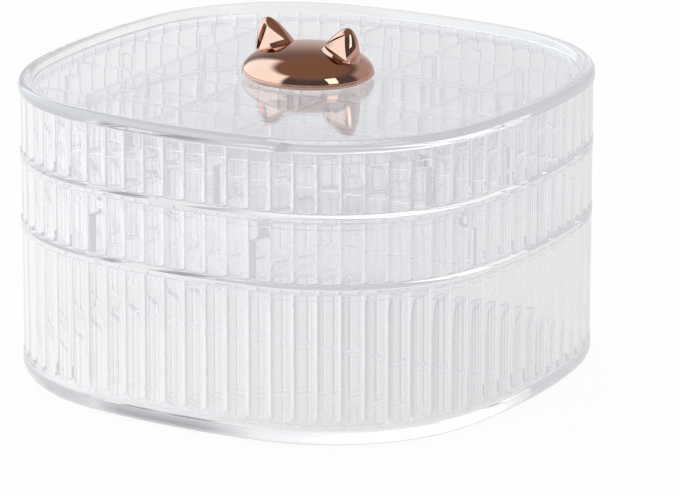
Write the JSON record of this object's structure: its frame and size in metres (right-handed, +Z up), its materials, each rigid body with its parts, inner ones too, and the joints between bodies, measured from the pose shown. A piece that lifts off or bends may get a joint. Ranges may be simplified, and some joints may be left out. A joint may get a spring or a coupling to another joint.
{
  "type": "acrylic jewelry box",
  "caption": "Clear reeded keepsake box with rounded square plan: a deep base, two lift-out divided trays stacked on it and a lift-off lid with a rose-gold eared knob.",
  "frame": {"origin": "centre of the underside of the base, on the surface that the box stands on", "axes": "+Z up through the knob, +X along the front face to the right, -Y out of the front face, which the hollows of the knob's ears face"},
  "size_m": [0.16, 0.16, 0.1059],
  "materials": {
    "clear_acrylic": "polished clear",
    "rose_gold": "mirror polished rose gold",
    "screw_steel": "plated"
  },
  "bodies": {
    "base": {"base_box": "clear_acrylic", "base_divider": "clear_acrylic"},
    "middle": {"middle_tray": "clear_acrylic", "middle_plate_left": "clear_acrylic", "middle_plate_right": "clear_acrylic", "middle_cross_front_left": "clear_acrylic", "middle_cross_front_right": "clear_acrylic", "middle_cross_back_left": "clear_acrylic", "middle_cross_back_right": "clear_acrylic"},
    "top": {"top_tray": "clear_acrylic", "top_plate_inner_left": "clear_acrylic", "top_plate_inner_right": "clear_acrylic", "top_plate_outer_left": "clear_acrylic", "top_plate_outer_right": "clear_acrylic", "top_cross_inner_front": "clear_acrylic", "top_cross_inner_back": "clear_acrylic", "top_cross_outer_front": "clear_acrylic", "top_cross_outer_back": "clear_acrylic"},
    "cover": {"lid": "clear_acrylic", "cat_knob": "rose_gold", "knob_screw": "screw_steel"}
  },
  "joints": [
    {"name": "middle_tray_lift", "type": "slide", "parent": "base", "child": "middle", "axis": [0, 0, 1], "range_m": [0, 0.06]},
    {"name": "top_tray_lift", "type": "slide", "parent": "middle", "child": "top", "axis": [0, 0, 1], "range_m": [0, 0.06]},
    {"name": "lid_lift", "type": "slide", "parent": "top", "child": "cover", "axis": [0, 0, 1], "range_m": [0, 0.06]}
  ]
}
